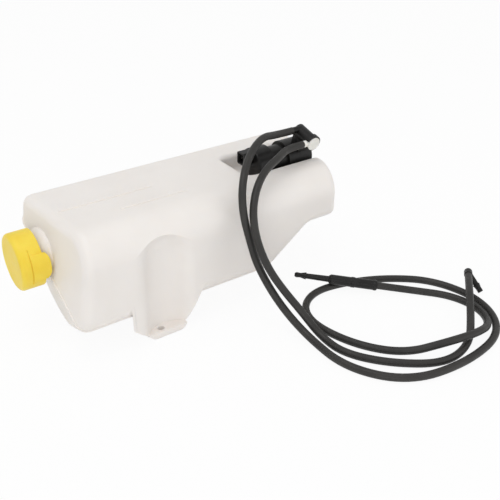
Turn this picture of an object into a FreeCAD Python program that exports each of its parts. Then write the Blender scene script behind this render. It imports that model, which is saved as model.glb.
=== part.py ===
import FreeCAD, Part
import math
import os

V = FreeCAD.Vector
AXIS_X = V(1, 0, 0)
AXIS_Z = V(0, 0, 1)

# Windscreen washer reservoir, lying as it rests on a bench: X runs along the tank from the
# filler cap to the pump end, Y from the front face to the back, Z up. All sizes in millimetres.

# Tank: a blow-moulded shell
overall_length = 337.0      # cap face to the rounded pump end
tank_width = 128.0
tank_height = 122.0         # top face above the bench
wall = 2.5
sill_height = 34.0          # front lower edge above the bench
slope_share = 0.484         # share of the width over which the bottom falls to the bench
end_radius = 10.0           # rounding of both ends
sill_radius = 19.0
top_front_radius = 31.0
top_back_radius = 10.5
heel_share = 0.34           # rounding of the lower back edge, share of the width
strip_share = 0.31          # rounding where the sloping bottom runs into the flat strip
end_slant = 9.4             # pump end, degrees away from square
crest = 5.5                 # filler end stands out along the parting plane
crest_draft = 11.0          # degrees that it falls away on both sides

# Raised pump end: ramp and belly under it
ramp_reach = 108.0          # pump end back to where the ramp leaves the sill
ramp_rise = 36.0            # degrees
ramp_sweep = 45.0           # degrees in plan
belly_front = 71.0          # height of the raised bottom at the front face
belly_back = 20.0           # and at the back face
belly_radius = 8.0
belly_crease = 16.0         # hollow rounding between the ramp and the raised bottom

# Scallop in the front face and the foot below it
scallop_place = 81.0        # middle of the scallop from the filler end
scallop_radius = 26.0
scallop_depth = 13.0
scallop_lip = 18.0          # rounding where the scallop runs out into the front face
scallop_middle = 86.0       # height at which its domed top begins
foot_front = 32.0           # width of the foot's front edge
foot_left = 37.0            # middle of the scallop to the foot's left side
foot_corner = 18.0          # height of the slanted lower left corner
foot_radius = 7.0           # rounding of the foot's corners
foot_depth = 58.0
foot_taper = 23.0           # its left side runs in by this much towards the back
foot_taper_depth = 33.0
foot_flare = 32.0           # how far the right side leans out from the bench to the foot's top
foot_pad = 6.0              # thickness of the bolted pad
bolt_hole = 7.0             # diameter, clears an M6 bolt
bolt_inset = 6.5            # hole centre behind the front edge
bolt_side = 6.0             # and to the left of the scallop's middle

# Parting plane, sloping through the filler neck, and the ridge along it
ridge_height = 0.8
ridge_width = 1.4
ridge_drop = 21.0           # parting plane below the top, at the back face
ridge_offset = 3.2486       # and below the middle of the front lower rounding

# Moulded ribs on the top face
rib_width = 3.0
rib_height = 0.8
rib_rows = ((14.0, 108.0, 7.0), (62.0, 132.0, -20.0))   # start and end from the filler end, place across

# Filler neck, cap and gasket
cap_diameter = 55.0
cap_depth = 22.0
cap_wall = 2.0
cap_plate = 2.5
cap_edge = 3.0
cap_stand = 32.5            # cap face in front of the tank's end face
neck_y = 20.0
neck_diameter = 44.0
neck_wall = 3.0
neck_bead = 1.2
neck_root = 4.0             # extra radius of the cone at the tank
neck_cone = 6.0
gasket_thick = 2.0
snap_gap = 0.3
tab_width = 26.0
tab_length = 14.0
tab_height = 3.0
tab_overhang = 5.0

# Pump: axis along X, lying in a trough in the top face
pump_y = -6.0
pump_drop = 1.0             # pump axis below the top face
pump_inset = 12.2           # inlet cover's outer face inside the tank's end
cover_length = 9.0
chamber_length = 13.0
bulkhead = 7.0
bay_length = 29.0
casing_radius = 14.5
chamber_radius = 17.5
cap_radius = 18.0           # motor end cap
end_cap_length = 18.5
end_cap_lap = 10.0          # end cap over the casing
shell = 2.0                 # pump wall
seat_gap = 0.05             # between pieces that are pushed together
run_gap = 0.03              # shaft in its bushes
trough_gap = 1.5            # pump to trough side
trough_depth = 22.0
trough_length = 97.0        # pump end back to the foot of the trough's slanted end
trough_back = 34.0          # pump axis to the trough's back wall
trough_end_run = 10.0
trough_radius = 8.0
trough_rim = 5.0            # rounding of the trough's upper edge

# Pump inlet and its seal in the tank
spigot_diameter = 13.0
spigot_bore = 8.0
spigot_length = 17.0        # below the trough floor
grommet_flange = 3.0
grommet_diameter = 18.0
grommet_lip = 2.0
strainer_length = 18.0
strainer_wall = 1.2
strainer_windows = 6

# Two-way valve on the pump
valve_reach = 29.8          # pump axis to valve axis
valve_tilt = 15.6           # degrees
valve_shift = 4.0           # valve axis beyond the middle of the chamber
valve_side = 6.5            # riser in front of the pump axis
valve_radius = 7.2
valve_front = 19.0
valve_back = 7.0
valve_wall = 1.8
valve_neck = 6.5
valve_flange = 1.3          # ring round the barrel's mouth
valve_flange_length = 5.0
outlet_proud = 1.0          # white outlet cap in front of the barrel's mouth
outlet_seat = 2.0           # and its disc inside the mouth
outlet_disc = 7.0
rear_nipple = 3.5           # rear nipple from the valve's middle
rear_lift = 4.0             # and above the valve's axis
front_nipple = 16.0         # front nipple, in the outlet cap
nipple_collar = 3.4
nipple_collar_length = 5.0
nipple_radius = 2.1
nipple_length = 9.0
nipple_bore = 2.6
diaphragm_thick = 1.2
diaphragm_travel = 0.8

# Motor inside the pump
can_radius = 12.3
can_wall = 0.8
can_length = 30.0
magnet_thick = 1.8
magnet_length = 15.0
magnet_span = 130.0
air_gap = 0.5
core_length = 10.0
pole_neck = 4.5
pole_shoe = 2.2
core_hub = 3.6
coil_wall = 1.8
commutator_radius = 3.4
commutator_length = 6.0
shaft_radius = 1.0
bush_radius = 2.6
bush_length = 3.0
seal_radius = 4.0
brush_width = 3.0
brush_height = 4.0
brush_gap = 0.1
card_thick = 2.0
impeller_radius = 11.0
impeller_height = 6.0
impeller_hub = 3.0
vane_count = 6
vane_thick = 1.2
socket_length = 12.5
socket_width = 12.0
socket_height = 13.0
socket_rise = 10.5          # socket above the motor's axis
socket_wall = 1.5
blade_width = 2.8
blade_thick = 0.8
blade_pitch = 5.6

# Hoses and their end fittings
hose_diameter = 7.5
hose_bore = 4.4
hose_socket = 10.0          # depth to which a nipple is pushed in
hose_rest = hose_diameter / 2 + 0.1
connector_radius = 5.2
connector_body = 50.0
connector_tip = 36.0
connector_neck = 3.2
elbow_radius = 3.4
elbow_leg = 24.0

# Values that follow
half = overall_length / 2
left_x = -half + cap_stand
front_y = -tank_width / 2
back_y = tank_width / 2
slope_run = slope_share * tank_width
heel_radius = heel_share * tank_width
strip_radius = strip_share * tank_width
ramp_start = half - ramp_reach
scallop_x = left_x + scallop_place
foot_height = sill_height + sill_radius
trough_floor = tank_height - trough_depth
trough_left = half - trough_length
cap_face = -half
cap_radius_out = cap_diameter / 2
neck_radius = neck_diameter / 2
neck_rim = cap_face + cap_plate + gasket_thick
neck_foot = left_x - crest + wall
slant = math.radians(end_slant)
sill_turn = math.atan2(slope_run, sill_height)
sill_mid_y = front_y + sill_radius
sill_mid_z = sill_height + sill_radius * math.tan(sill_turn / 2)
ridge_back = tank_height - ridge_drop
ridge_run = math.hypot(back_y - sill_mid_y, ridge_back - sill_mid_z)
part_slope = (math.atan2(ridge_back - sill_mid_z, back_y - sill_mid_y)
              + math.asin(ridge_offset / ridge_run))
neck_z = ridge_back - (back_y - neck_y) * math.tan(part_slope)
end_at_pump = (half - end_radius * (1 - math.cos(slant))
               + (pump_y - back_y + end_radius * (1 + math.sin(slant))) * math.tan(slant))
pump_z = tank_height - pump_drop
pump_end = end_at_pump - pump_inset
cover_x = pump_end - cover_length
chamber_x = cover_x - chamber_length
bay_end = chamber_x - bulkhead
bay_start = bay_end - bay_length
end_cap_x = bay_start + end_cap_lap - end_cap_length
inlet_x = pump_end - cover_length / 2
trough_half = cap_radius + trough_gap
tilt = math.radians(valve_tilt)
valve_dir = V(0, math.cos(tilt), math.sin(tilt))
valve_up = V(0, -math.sin(tilt), math.cos(tilt))
valve_x = cover_x - chamber_length / 2 + valve_shift
pump_axis = V(0, pump_y, pump_z)
riser_foot = V(valve_x, pump_y, pump_z) - valve_dir * valve_side
valve_centre = riser_foot + valve_up * valve_reach
nipple_reach = 0.9 * valve_radius + nipple_collar_length
diaphragm_gap = diaphragm_thick / 2 + diaphragm_travel + seat_gap
can_end = bay_end - 1.0
can_start = can_end - can_length
magnet_outer = can_radius - can_wall - seat_gap
magnet_inner = magnet_outer - magnet_thick
core_radius = magnet_inner - air_gap
magnet_x = can_end - 4.0 - magnet_length
core_x = magnet_x + (magnet_length - core_length) / 2
commutator_x = can_start + card_thick + 3.0
socket_z = pump_z + socket_rise
blade_low = socket_z - blade_width / 2
shaft_start = end_cap_x + shell + 0.5
shaft_end = chamber_x + 1.5 + impeller_height


def axial(x0, x1, radius, y=pump_y, z=pump_z):
    return Part.makeCylinder(radius, x1 - x0, V(x0, y, z), AXIS_X)


def rod(start, direction, length, radius):
    return Part.makeCylinder(radius, length, start, direction)


def block(x0, x1, y0, y1, z0, z1):
    return Part.makeBox(x1 - x0, y1 - y0, z1 - z0, V(x0, y0, z0))


def fuse(shapes):
    return shapes[0].multiFuse(shapes[1:]).removeSplitter()


def turned(points, x0, y, z):
    """Solid of revolution about the line along X through (y, z); points are (x, radius)."""
    ring = [V(x0 + x, y, z + r) for x, r in points]
    face = Part.Face(Part.makePolygon(ring + ring[:1]))
    return face.revolve(V(x0, y, z), AXIS_X, 360)


def inset(points, distance):
    """Moves each side of a polygon inwards; the points run clockwise."""
    lines = []
    for a, b in zip(points, points[1:] + points[:1]):
        length = math.dist(a, b)
        ux, uy = (b[0] - a[0]) / length, (b[1] - a[1]) / length
        lines.append((a[0] + uy * distance, a[1] - ux * distance, ux, uy))
    moved = []
    for (ax, ay, au, av), (bx, by, bu, bv) in zip(lines[-1:] + lines[:-1], lines):
        t = ((bx - ax) * bv - (by - ay) * bu) / (au * bv - av * bu)
        moved.append((ax + au * t, ay + av * t))
    return moved


def rounded_wire(points, radii, place):
    """Closed outline with an arc at each corner; place turns a flat point into a vector."""
    edges = []
    starts = []
    ends = []
    middles = []
    count = len(points)
    for i in range(count):
        p = FreeCAD.Vector(*points[i], 0)
        before = (FreeCAD.Vector(*points[i - 1], 0) - p).normalize()
        after = (FreeCAD.Vector(*points[(i + 1) % count], 0) - p).normalize()
        half_angle = before.getAngle(after) / 2
        reach = radii[i] / math.tan(half_angle)
        bisector = (before + after).normalize()
        centre = p + bisector * (radii[i] / math.sin(half_angle))
        starts.append(p + before * reach)
        ends.append(p + after * reach)
        middles.append(centre - bisector * radii[i])
    for i in range(count):
        corner = [place(q.x, q.y) for q in (starts[i], middles[i], ends[i])]
        edges.append(Part.Arc(*corner).toShape())
        nxt = starts[(i + 1) % count]
        edges.append(Part.LineSegment(corner[2], place(nxt.x, nxt.y)).toShape())
    return Part.Wire(edges)


def half_space(point, normal, size=900.0):
    """Large block on the side of a plane that the normal points to."""
    box = Part.makeBox(size, size, size, V(-size / 2, -size / 2, 0))
    turn = FreeCAD.Rotation(AXIS_Z, normal)
    box.Placement = FreeCAD.Placement(point, turn)
    return box


def end_plane(depth):
    """Point and outward normal of the slanted pump end, set in by depth."""
    normal = V(math.cos(slant), -math.sin(slant), 0)
    corner = V(half - end_radius, back_y - end_radius, 0)
    return corner + normal * (end_radius - depth), normal


def cut_filler_end(bar, depth):
    """Two faces that meet along the parting plane, set in by depth."""
    draft = math.radians(crest_draft)
    across = V(0, -math.sin(part_slope), math.cos(part_slope))
    point = V(left_x - crest + depth / math.cos(draft), neck_y, neck_z)
    for side in (across, -across):
        bar = bar.cut(half_space(point, -AXIS_X * math.cos(draft) + side * math.sin(draft)))
    return bar


def belly_cut(depth):
    """Space below the raised pump end, right of the ramp; depth lifts both faces."""
    rise = math.radians(ramp_rise)
    sweep = math.radians(ramp_sweep)
    along = V(math.cos(rise), 0, math.sin(rise))
    back = V(math.sin(sweep), math.cos(sweep), 0)
    ramp_normal = along.cross(back).normalize() * -1
    ramp = half_space(V(ramp_start, front_y, sill_height) - ramp_normal * depth, ramp_normal)
    fall = V(0, tank_width, belly_back - belly_front)
    belly_normal = AXIS_X.cross(fall).normalize() * -1
    belly = half_space(V(0, front_y, belly_front) - belly_normal * depth, belly_normal)
    cut = ramp.common(belly)
    ramp_end = ramp_start + (belly_front - sill_height) / math.tan(rise)
    corner = Part.Vertex(V(ramp_end, front_y, belly_front))
    crease = min(cut.Edges, key=lambda edge: edge.distToShape(corner)[0])
    return cut.makeFillet(belly_crease + depth, [crease])


def tank_block(depth):
    """Rounded block of the tank, set in by depth: 0 outside, the wall for the hollow."""
    corners = [(front_y, sill_height), (front_y, tank_height), (back_y, tank_height),
               (back_y, 0), (front_y + slope_run, 0)]
    radii = [sill_radius, top_front_radius, top_back_radius, heel_radius, strip_radius]
    outline = rounded_wire(inset(corners, depth), [r - depth for r in radii],
                           lambda y, z: V(left_x - 2 * crest, y, z))
    bar = Part.Face(outline).extrude(V(overall_length + end_radius, 0, 0))
    point, normal = end_plane(depth)
    bar = cut_filler_end(bar.cut(half_space(point, normal)), depth)
    ends = []
    for face in bar.Faces:
        if abs(face.normalAt(0, 0).x) > 0.9:
            ends += [e for e in face.Edges if not any(e.isSame(o) for o in ends)]
    bar = bar.makeFillet(end_radius - depth, ends)
    bar = bar.cut(belly_cut(depth))
    return bar


def soften_belly(bar, depth):
    """Rounds the outer edges of the ramp and of the raised bottom."""
    front = front_y + depth + 0.1
    top = belly_front + 2 * depth + 1
    edges = [e for e in bar.Edges if e.BoundBox.YMax < front and e.BoundBox.ZMax < top
             and e.BoundBox.XMin > ramp_start]
    return bar.makeFillet(belly_radius - depth, edges)


def foot_block(depth):
    """Foot under the scallop, set in by depth."""
    mid = scallop_x
    right = mid + foot_front / 2
    corners = [(mid - foot_left, foot_corner), (mid - foot_left, foot_height),
               (right + foot_flare, foot_height), (right, 0), (mid - foot_front / 2, 0)]
    outline = rounded_wire(inset(corners, depth), [foot_radius - depth] * len(corners),
                           lambda x, z: V(x, front_y + depth, z))
    block = Part.Face(outline).extrude(V(0, foot_depth - 2 * depth, 0))
    left = mid - foot_left
    back = front_y + foot_depth
    plan = inset([(left, front_y), (right + foot_flare, front_y), (right + foot_flare, back),
                  (left + foot_taper, back), (left + foot_taper, front_y + foot_taper_depth)], depth)
    wire = Part.makePolygon([V(x, y, 0) for x, y in plan + plan[:1]])
    return block.common(Part.Face(wire).extrude(V(0, 0, foot_height)))


def scallop_cut(depth):
    """Soft channel in the front face, open to the foot's pad, with a domed top; grown by depth."""
    front = front_y + depth
    hollow = scallop_radius + depth
    lip = scallop_lip - depth
    centre = front_y + scallop_depth - scallop_radius
    lip_x = math.sqrt((hollow + lip) ** 2 - (front + lip - centre) ** 2)
    turn = math.atan2(lip_x, front + lip - centre)
    outside = front_y - scallop_radius

    def at(x, y):
        return V(scallop_x + x, y, scallop_middle)

    def on_hollow(angle):
        return at(hollow * math.sin(angle), centre + hollow * math.cos(angle))

    def on_lip(angle):
        return at(lip_x - lip * math.sin(angle), front + lip - lip * math.cos(angle))

    edges = [Part.Arc(on_hollow(0), on_hollow(turn / 2), on_hollow(turn)).toShape(),
             Part.Arc(on_lip(turn), on_lip(turn / 2), on_lip(0)).toShape()]
    edges += Part.makePolygon([on_lip(0), at(lip_x, outside), at(0, outside), on_hollow(0)]).Edges
    half_face = Part.Face(Part.Wire(edges))
    dome = half_face.revolve(at(0, 0), V(0, 1, 0), 360)
    low = foot_pad if depth == 0 else -foot_pad
    right = half_face.extrude(V(0, 0, low - scallop_middle))
    left = right.mirror(at(0, 0), AXIS_X)
    return fuse([right, left, dome])


def trough_cut(depth):
    """Trough for the pump in the top face, grown by depth."""
    floor = trough_floor - depth
    top = tank_height + 20
    run = (top - floor) * trough_end_run / (tank_height - trough_floor)
    outline = [V(trough_left - depth, 0, floor), V(trough_left - depth - run, 0, top),
               V(half + 20, 0, top), V(half + 20, 0, floor)]
    low_y = pump_y - trough_half - depth
    face = Part.Face(Part.makePolygon(outline + outline[:1]))
    face.translate(V(0, low_y, 0))
    cut = face.extrude(V(0, trough_half + trough_back + 2 * depth, 0))
    low = [e for e in cut.Edges
           if e.BoundBox.ZMin < floor + 0.1 and e.BoundBox.XMax < half
           or e.BoundBox.ZMax < floor + 0.1 and e.BoundBox.XLength > 10]
    return cut.makeFillet(trough_radius, low)


def parting_ridge():
    """Thin raised line where the two halves of the mould meet."""
    size = 2 * overall_length
    slab = Part.makeBox(size, size, ridge_width, V(-size / 2, -size / 2, -ridge_width / 2))
    tilt = FreeCAD.Rotation(AXIS_X, math.degrees(part_slope))
    slab.Placement = FreeCAD.Placement(V(0, neck_y, neck_z), tilt)
    ring = soften_belly(tank_block(-ridge_height), -ridge_height).common(slab)
    ring = ring.cut(soften_belly(tank_block(wall / 2), wall / 2))
    return ring.cut(scallop_cut(0)).cut(foot_block(0)).cut(trough_cut(0))


def soften_rim(tank):
    """Rounds the upper edge of the trough; the long sides carry the rest of the rim with them."""
    rim = []
    for edge in tank.Edges:
        box = edge.BoundBox
        level = box.ZMin > tank_height - 0.1 and box.ZMax < tank_height + 0.1
        beside = box.YMin > pump_y - trough_half - 1 and box.YMax < pump_y + trough_back + 1
        if level and beside and box.XLength > trough_length / 2:
            rim.append(edge)
    return tank.makeFillet(trough_rim, rim)


def make_tank():
    outside = soften_belly(tank_block(0), 0)
    outside = outside.fuse(foot_block(0)).cut(scallop_cut(0)).cut(trough_cut(0))
    inside = soften_belly(tank_block(wall), wall).fuse(foot_block(wall))
    inside = inside.cut(scallop_cut(wall)).cut(trough_cut(wall))
    ribs = []
    for x0, x1, y in rib_rows:
        ribs.append(block(left_x + x0, left_x + x1, y - rib_width / 2, y + rib_width / 2,
                          tank_height - wall / 2, tank_height + rib_height))
    root_x = neck_foot - neck_cone
    neck = turned([(0, 0), (0, neck_radius), (root_x - neck_rim, neck_radius),
                   (neck_foot - neck_rim, neck_radius + neck_root),
                   (neck_foot - neck_rim + wall, neck_radius + neck_root),
                   (neck_foot - neck_rim + wall, 0)], neck_rim, neck_y, neck_z)
    bead_x = cap_face + cap_depth - 6.0
    bead = turned([(0, 0), (0, neck_radius), (1.5, neck_radius + neck_bead),
                   (3, neck_radius), (3, 0)], bead_x, neck_y, neck_z)
    bore_radius = neck_radius - neck_wall
    bore = axial(neck_rim - 1, neck_foot + 2 * wall, bore_radius, neck_y, neck_z)
    throat = turned([(0, 0), (0, bore_radius), (neck_cone, bore_radius + neck_root - wall),
                     (neck_cone + 2 * wall, bore_radius + neck_root - wall), (neck_cone + 2 * wall, 0)],
                    root_x + wall, neck_y, neck_z)
    shell_solid = soften_rim(outside.cut(inside))
    tank = shell_solid.multiFuse([neck, bead, parting_ridge()] + ribs).cut(bore).cut(throat)
    bolt = Part.makeCylinder(bolt_hole / 2, 4 * foot_pad,
                             V(scallop_x - bolt_side, front_y + bolt_inset, -foot_pad))
    seat = Part.makeCylinder(grommet_diameter / 2, 6 * wall,
                             V(inlet_x, pump_y, trough_floor - 3 * wall))
    return tank.cut(bolt).cut(seat).removeSplitter()


def make_filler_cap():
    inner = cap_radius_out - cap_wall
    lip = neck_radius + neck_bead + snap_gap
    body = turned([(0, 0), (0, cap_radius_out - cap_edge),
                   (cap_edge * 0.3, cap_radius_out - cap_edge * 0.3),
                   (cap_edge, cap_radius_out), (cap_depth, cap_radius_out), (cap_depth, lip),
                   (cap_depth - 3, lip), (cap_depth - 4, inner), (cap_plate, inner), (cap_plate, 0)],
                  cap_face, neck_y, neck_z)
    rear = cap_face + cap_depth
    ring = axial(rear + tab_overhang - tab_length, rear + tab_overhang,
                 cap_radius_out + tab_height, neck_y, neck_z)
    hollow = axial(rear - tab_length, rear + 2 * tab_overhang, cap_radius_out - cap_wall / 2,
                   neck_y, neck_z)
    slab = block(cap_face, rear + 2 * tab_overhang, neck_y - 2 * cap_diameter, neck_y,
                 neck_z - tab_width / 2, neck_z + tab_width / 2)
    tab = ring.cut(hollow).common(slab)
    corners = [e for e in tab.Edges if e.BoundBox.YLength > 1 and e.BoundBox.XMin > rear]
    tab = tab.makeFillet(tab_height, [e for e in corners if e.BoundBox.ZLength < tab_height])
    return body.fuse(tab).removeSplitter()


def make_cap_gasket():
    ring = axial(cap_face + cap_plate, neck_rim, neck_radius, neck_y, neck_z)
    return ring.cut(axial(cap_face, neck_rim + 1, neck_radius - neck_wall - 1, neck_y, neck_z))


def nipple_root(along, lift):
    return valve_centre + valve_dir * along + valve_up * lift


def nipple(along, lift):
    """Hose nipple with its collar, pointing along -X from the valve's axis."""
    root = nipple_root(along, lift)
    collar = rod(root, -AXIS_X, nipple_reach, nipple_collar)
    return collar.fuse(rod(root, -AXIS_X, nipple_reach + nipple_length, nipple_radius))


def nipple_passage(along, lift):
    return rod(nipple_root(along, lift), -AXIS_X, nipple_reach + nipple_length + 1, nipple_bore / 2)


def outlet_notch():
    """Slot in the barrel's mouth that the outlet cap's nipple slides into."""
    half_width = nipple_collar + snap_gap
    slot = block(-2 * valve_radius, 0, -valve_front - 1, -front_nipple, -half_width, half_width)
    slot.Placement = FreeCAD.Placement(valve_centre, FreeCAD.Rotation(AXIS_X, valve_tilt))
    return slot.fuse(rod(nipple_root(-front_nipple, 0), -AXIS_X, 2 * valve_radius, half_width))


def make_pump_body():
    casing = axial(bay_start, bay_end, casing_radius)
    chamber = axial(bay_end, cover_x, chamber_radius)
    barrel = rod(valve_centre - valve_dir * valve_front, valve_dir, valve_front + valve_back, valve_radius)
    mouth = rod(valve_centre - valve_dir * valve_front, valve_dir, valve_flange_length,
                valve_radius + valve_flange)
    riser = rod(riser_foot, valve_up, valve_reach, valve_neck)
    gusset = block(-valve_neck, valve_neck, -valve_neck, valve_neck, 0, valve_reach)
    gusset.Placement = FreeCAD.Placement(riser_foot, FreeCAD.Rotation(AXIS_X, valve_tilt))
    riser = riser.fuse(gusset).cut(axial(bay_start, pump_end + 1, chamber_radius - shell / 2))
    riser = riser.cut(axial(cover_x, pump_end + 1, chamber_radius + snap_gap))
    body = fuse([casing, chamber, barrel, mouth, riser, nipple(rear_nipple, rear_lift)])
    bay = axial(bay_start - 1, bay_end, casing_radius - shell)
    volute = axial(chamber_x, cover_x + 1, chamber_radius - shell)
    seal_bore = axial(bay_end - 1, chamber_x + 1, seal_radius)
    front_bore = rod(valve_centre - valve_dir * (valve_front + 1), valve_dir,
                     valve_front + 1 + diaphragm_gap, valve_radius - valve_wall)
    back_bore = rod(valve_centre, valve_dir, valve_back - valve_wall, valve_radius - 2 * valve_wall)
    duct_start = chamber_radius - 3 * shell
    duct = rod(riser_foot + valve_up * duct_start, valve_up, valve_reach - duct_start - valve_wall,
               nipple_bore)
    seat = rod(valve_centre - valve_dir * (valve_front + 1), valve_dir, outlet_seat + 1 + seat_gap,
               outlet_disc + seat_gap)
    passage = nipple_passage(rear_nipple, rear_lift)
    for cut in (bay, volute, seal_bore, front_bore, back_bore, seat, outlet_notch(), duct, passage):
        body = body.cut(cut)
    return body.removeSplitter()


def make_outlet_cap():
    """White cap that closes the valve's front end, carries its nipple and seats the diaphragm."""
    face = valve_centre - valve_dir * (valve_front + outlet_proud)
    disc = rod(face, valve_dir, outlet_proud + outlet_seat, outlet_disc)
    reach = outlet_proud + valve_front - diaphragm_gap
    spigot = rod(face, valve_dir, reach, valve_radius - valve_wall - seat_gap)
    cap = fuse([disc, spigot, nipple(-front_nipple, 0)])
    bore = rod(face + valve_dir * shell, valve_dir, reach, valve_radius - 2 * valve_wall)
    return cap.cut(bore).cut(nipple_passage(-front_nipple, 0))


def make_diaphragm():
    start = valve_centre - valve_dir * (diaphragm_thick / 2)
    return rod(start, valve_dir, diaphragm_thick, valve_radius - valve_wall - snap_gap)


def make_inlet_cover():
    """End cover with the inlet spigot that plugs into the tank."""
    disc = axial(cover_x, pump_end, chamber_radius)
    tip = trough_floor - spigot_length
    spigot = Part.makeCylinder(spigot_diameter / 2, pump_z - tip, V(inlet_x, pump_y, tip))
    spigot = spigot.cut(axial(bay_end, cover_x, chamber_radius + snap_gap))
    body = disc.fuse(spigot)
    rise = Part.makeCylinder(spigot_bore / 2, pump_z - tip + 1, V(inlet_x, pump_y, tip - 1))
    eye = axial(cover_x - 1, inlet_x, spigot_bore / 2)
    return body.cut(rise).cut(eye).removeSplitter()


def make_grommet():
    """Rubber seal round the spigot, gripping the trough floor."""
    inner = spigot_diameter / 2 + seat_gap
    outer = grommet_diameter / 2 - snap_gap
    flange = Part.makeCylinder(outer + grommet_lip, grommet_flange, V(inlet_x, pump_y, trough_floor))
    low = trough_floor - wall
    sleeve = Part.makeCylinder(outer, grommet_flange + wall + 3, V(inlet_x, pump_y, low - 3))
    lip = Part.makeCone(outer - 0.5, outer + grommet_lip / 2, 3 - seat_gap, V(inlet_x, pump_y, low - 3))
    hole = Part.makeCylinder(inner, 60, V(inlet_x, pump_y, low - 30))
    return fuse([flange, sleeve, lip]).cut(hole)


def make_strainer():
    """Mesh cup pushed on the spigot inside the tank."""
    tip = trough_floor - spigot_length
    inner = spigot_diameter / 2 + seat_gap
    outer = inner + strainer_wall
    top = tip + 5
    low = top - strainer_length
    cup = Part.makeCylinder(outer, strainer_length, V(inlet_x, pump_y, low))
    cup = cup.cut(Part.makeCylinder(inner, strainer_length, V(inlet_x, pump_y, low + strainer_wall)))
    for i in range(strainer_windows):
        window = block(0, 2 * outer, -1.6, 1.6, low + 2.5, tip - 2.5)
        window.rotate(V(0, 0, 0), AXIS_Z, i * 360 / strainer_windows)
        window.translate(V(inlet_x, pump_y, 0))
        cup = cup.cut(window)
    return cup


def make_end_cap():
    """Motor end cap with the connector socket and the rear bush seat."""
    body = axial(end_cap_x, end_cap_x + end_cap_length, cap_radius)
    rim = [e for e in body.Edges if e.BoundBox.XMax < end_cap_x + 0.1 and e.BoundBox.YLength > 1]
    body = body.makeFillet(shell, rim)
    body = body.cut(axial(end_cap_x + shell, bay_start, casing_radius - shell))
    body = body.cut(axial(bay_start, end_cap_x + end_cap_length + 1, casing_radius + seat_gap))
    boss = axial(end_cap_x + shell / 2, shaft_start + bush_length, bush_radius + shell)
    socket = block(end_cap_x - socket_length, end_cap_x + shell / 2, pump_y - socket_width / 2,
                   pump_y + socket_width / 2, socket_z - socket_height / 2, socket_z + socket_height / 2)
    long_edges = [e for e in socket.Edges if e.BoundBox.XLength > socket_length]
    socket = socket.makeFillet(shell, long_edges)
    mouth = block(end_cap_x - socket_length - 1, end_cap_x - 0.5, pump_y - socket_width / 2 + socket_wall,
                  pump_y + socket_width / 2 - socket_wall, socket_z - socket_height / 2 + socket_wall,
                  socket_z + socket_height / 2 - socket_wall)
    body = fuse([body, boss, socket]).cut(mouth)
    body = body.cut(axial(shaft_start - 0.5, shaft_start + bush_length + 2, bush_radius + seat_gap))
    for y in (pump_y - blade_pitch / 2, pump_y + blade_pitch / 2):
        slot = block(end_cap_x - 1, end_cap_x + shell + 1, y - blade_thick / 2 - seat_gap,
                     y + blade_thick / 2 + seat_gap, blade_low - seat_gap,
                     blade_low + blade_width + seat_gap)
        body = body.cut(slot)
    return body.removeSplitter()


def make_terminals():
    blades = []
    for y in (pump_y - blade_pitch / 2, pump_y + blade_pitch / 2):
        blades.append(block(end_cap_x - socket_length + 3, can_start - seat_gap, y - blade_thick / 2,
                            y + blade_thick / 2, blade_low, blade_low + blade_width))
    return Part.makeCompound(blades)


def make_can():
    outer = axial(can_start, can_end, can_radius)
    hollow = axial(can_start - 1, can_end - can_wall, can_radius - can_wall)
    boss = axial(can_end - bush_length - can_wall, can_end, bush_radius + can_wall + seat_gap)
    bore = axial(can_end - bush_length - 2, can_end + 1, bush_radius + seat_gap)
    return outer.cut(hollow).fuse(boss).cut(bore).removeSplitter()


def make_bush(x0):
    bore = axial(x0 - 1, x0 + bush_length + 1, shaft_radius + run_gap)
    return axial(x0, x0 + bush_length, bush_radius).cut(bore)


def make_magnets():
    ring = axial(magnet_x, magnet_x + magnet_length, magnet_outer)
    ring = ring.cut(axial(magnet_x - 1, magnet_x + magnet_length + 1, magnet_inner))
    arcs = []
    reach = 2 * can_radius
    for middle in (90.0, 270.0):
        pts = [V(magnet_x - 1, 0, 0)]
        for k in range(5):
            a = math.radians(middle - magnet_span / 2 + magnet_span * k / 4)
            pts.append(V(magnet_x - 1, reach * math.cos(a), reach * math.sin(a)))
        wedge = Part.Face(Part.makePolygon(pts + pts[:1])).extrude(V(magnet_length + 2, 0, 0))
        wedge.translate(pump_axis)
        arcs.append(ring.common(wedge))
    return Part.makeCompound(arcs)


def make_core():
    """Three-pole laminated armature on the shaft."""
    hub = axial(core_x, core_x + core_length, core_hub)
    rim = axial(core_x, core_x + core_length, core_radius)
    rim = rim.cut(axial(core_x - 1, core_x + core_length + 1, core_radius - pole_shoe))
    core = hub
    for i in range(3):
        neck = block(core_x, core_x + core_length, -pole_neck / 2, pole_neck / 2, 0,
                     core_radius - pole_shoe / 2)
        gap = block(core_x - 1, core_x + core_length + 1, -1.2, 1.2, 0, 2 * core_radius)
        for piece, turn in ((neck, 120 * i), (gap, 120 * i + 60)):
            piece.rotate(V(0, 0, 0), AXIS_X, turn)
            piece.translate(pump_axis)
        core = core.fuse(neck)
        rim = rim.cut(gap)
    core = core.fuse(rim)
    return core.cut(axial(core_x - 1, core_x + core_length + 1, shaft_radius)).removeSplitter()


def make_windings():
    coils = []
    low = core_hub + 0.2
    high = core_radius - pole_shoe - 0.3
    for i in range(3):
        coil = block(core_x - coil_wall, core_x + core_length + coil_wall, -pole_neck / 2 - coil_wall,
                     pole_neck / 2 + coil_wall, low, high)
        hole = block(core_x, core_x + core_length, -pole_neck / 2, pole_neck / 2, 0, 2 * high)
        coil = coil.cut(hole)
        keep = axial(core_x - 5, core_x + core_length + 5, high, 0, 0)
        coil = coil.common(keep)
        coil.rotate(V(0, 0, 0), AXIS_X, 120 * i)
        coil.translate(pump_axis)
        coils.append(coil)
    return Part.makeCompound(coils)


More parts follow.
